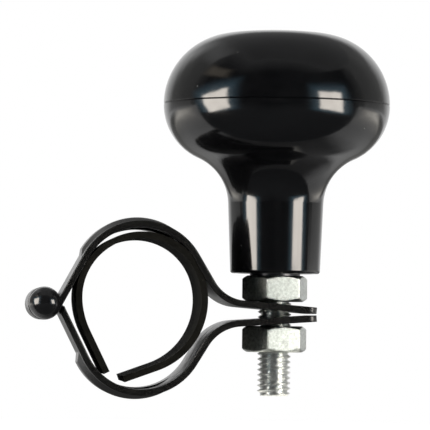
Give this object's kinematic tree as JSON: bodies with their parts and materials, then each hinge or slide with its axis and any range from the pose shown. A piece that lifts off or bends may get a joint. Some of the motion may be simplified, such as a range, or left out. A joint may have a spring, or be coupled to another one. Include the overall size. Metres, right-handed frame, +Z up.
{
  "type": "steering wheel spinner knob",
  "caption": "Glossy black mushroom grip turning on a steel spindle, held to a steering wheel's rim by a hinged clamp of pressed, beaded straps with a rubber liner.",
  "frame": {"origin": "centre of the rim that the clamp grips, half way along the clamp's width", "axes": "+Y along the gripped rim, +Z up along the spindle towards the grip, +X from the hinge towards the spindle"},
  "size_m": [0.086, 0.054, 0.0878],
  "materials": {
    "strap_paint": "black gloss paint",
    "pin_paint": "black gloss paint",
    "liner_rubber": "matte",
    "bolt_plating": "plated",
    "nut_plating": "plated",
    "turned_steel": "turned",
    "bush_plastic": "matte",
    "grip_plastic": "polished",
    "bearing_steel": "ground",
    "cage_brass": "drawn"
  },
  "bodies": {
    "clamp": {"upper_strap": "strap_paint", "spindle": "bolt_plating", "upper_nut": "nut_plating", "spacer_sleeve": "turned_steel", "bearing_inner_ring": "bearing_steel", "head_washer": "nut_plating", "hinge_pin": "pin_paint", "rim_liner": "liner_rubber"},
    "knob": {"knob_cap": "grip_plastic", "knob_body": "grip_plastic", "stem_bush": "bush_plastic", "bearing_outer_ring": "bearing_steel"},
    "ball_cage": {"bearing_cage": "cage_brass", "bearing_ball_1": "bearing_steel", "bearing_ball_2": "bearing_steel", "bearing_ball_3": "bearing_steel", "bearing_ball_4": "bearing_steel", "bearing_ball_5": "bearing_steel", "bearing_ball_6": "bearing_steel", "bearing_ball_7": "bearing_steel"},
    "swing_strap": {"lower_strap": "strap_paint"},
    "clamp_nut": {"lower_nut": "nut_plating"}
  },
  "joints": [
    {"name": "knob_spin", "type": "hinge", "parent": "clamp", "child": "knob", "pos_m": [0.0325, 0, 0], "axis": [0, 0, 1], "continuous": true},
    {"name": "cage_spin", "type": "hinge", "parent": "clamp", "child": "ball_cage", "pos_m": [0.0325, 0, 0], "axis": [0, 0, 1], "continuous": true},
    {"name": "clamp_swing", "type": "hinge", "parent": "clamp", "child": "swing_strap", "pos_m": [-0.0227, 0, -0.0016], "axis": [0, 1, 0], "range_deg": [0, 10]},
    {"name": "nut_travel", "type": "slide", "parent": "clamp", "child": "clamp_nut", "axis": [0, 0, -1], "range_m": [0, 0.01]}
  ],
  "couplings": [
    {"joint": "cage_spin", "follows": "knob_spin", "ratio": 0.631},
    {"joint": "nut_travel", "follows": "clamp_swing", "m_per_rad": 0.057}
  ]
}
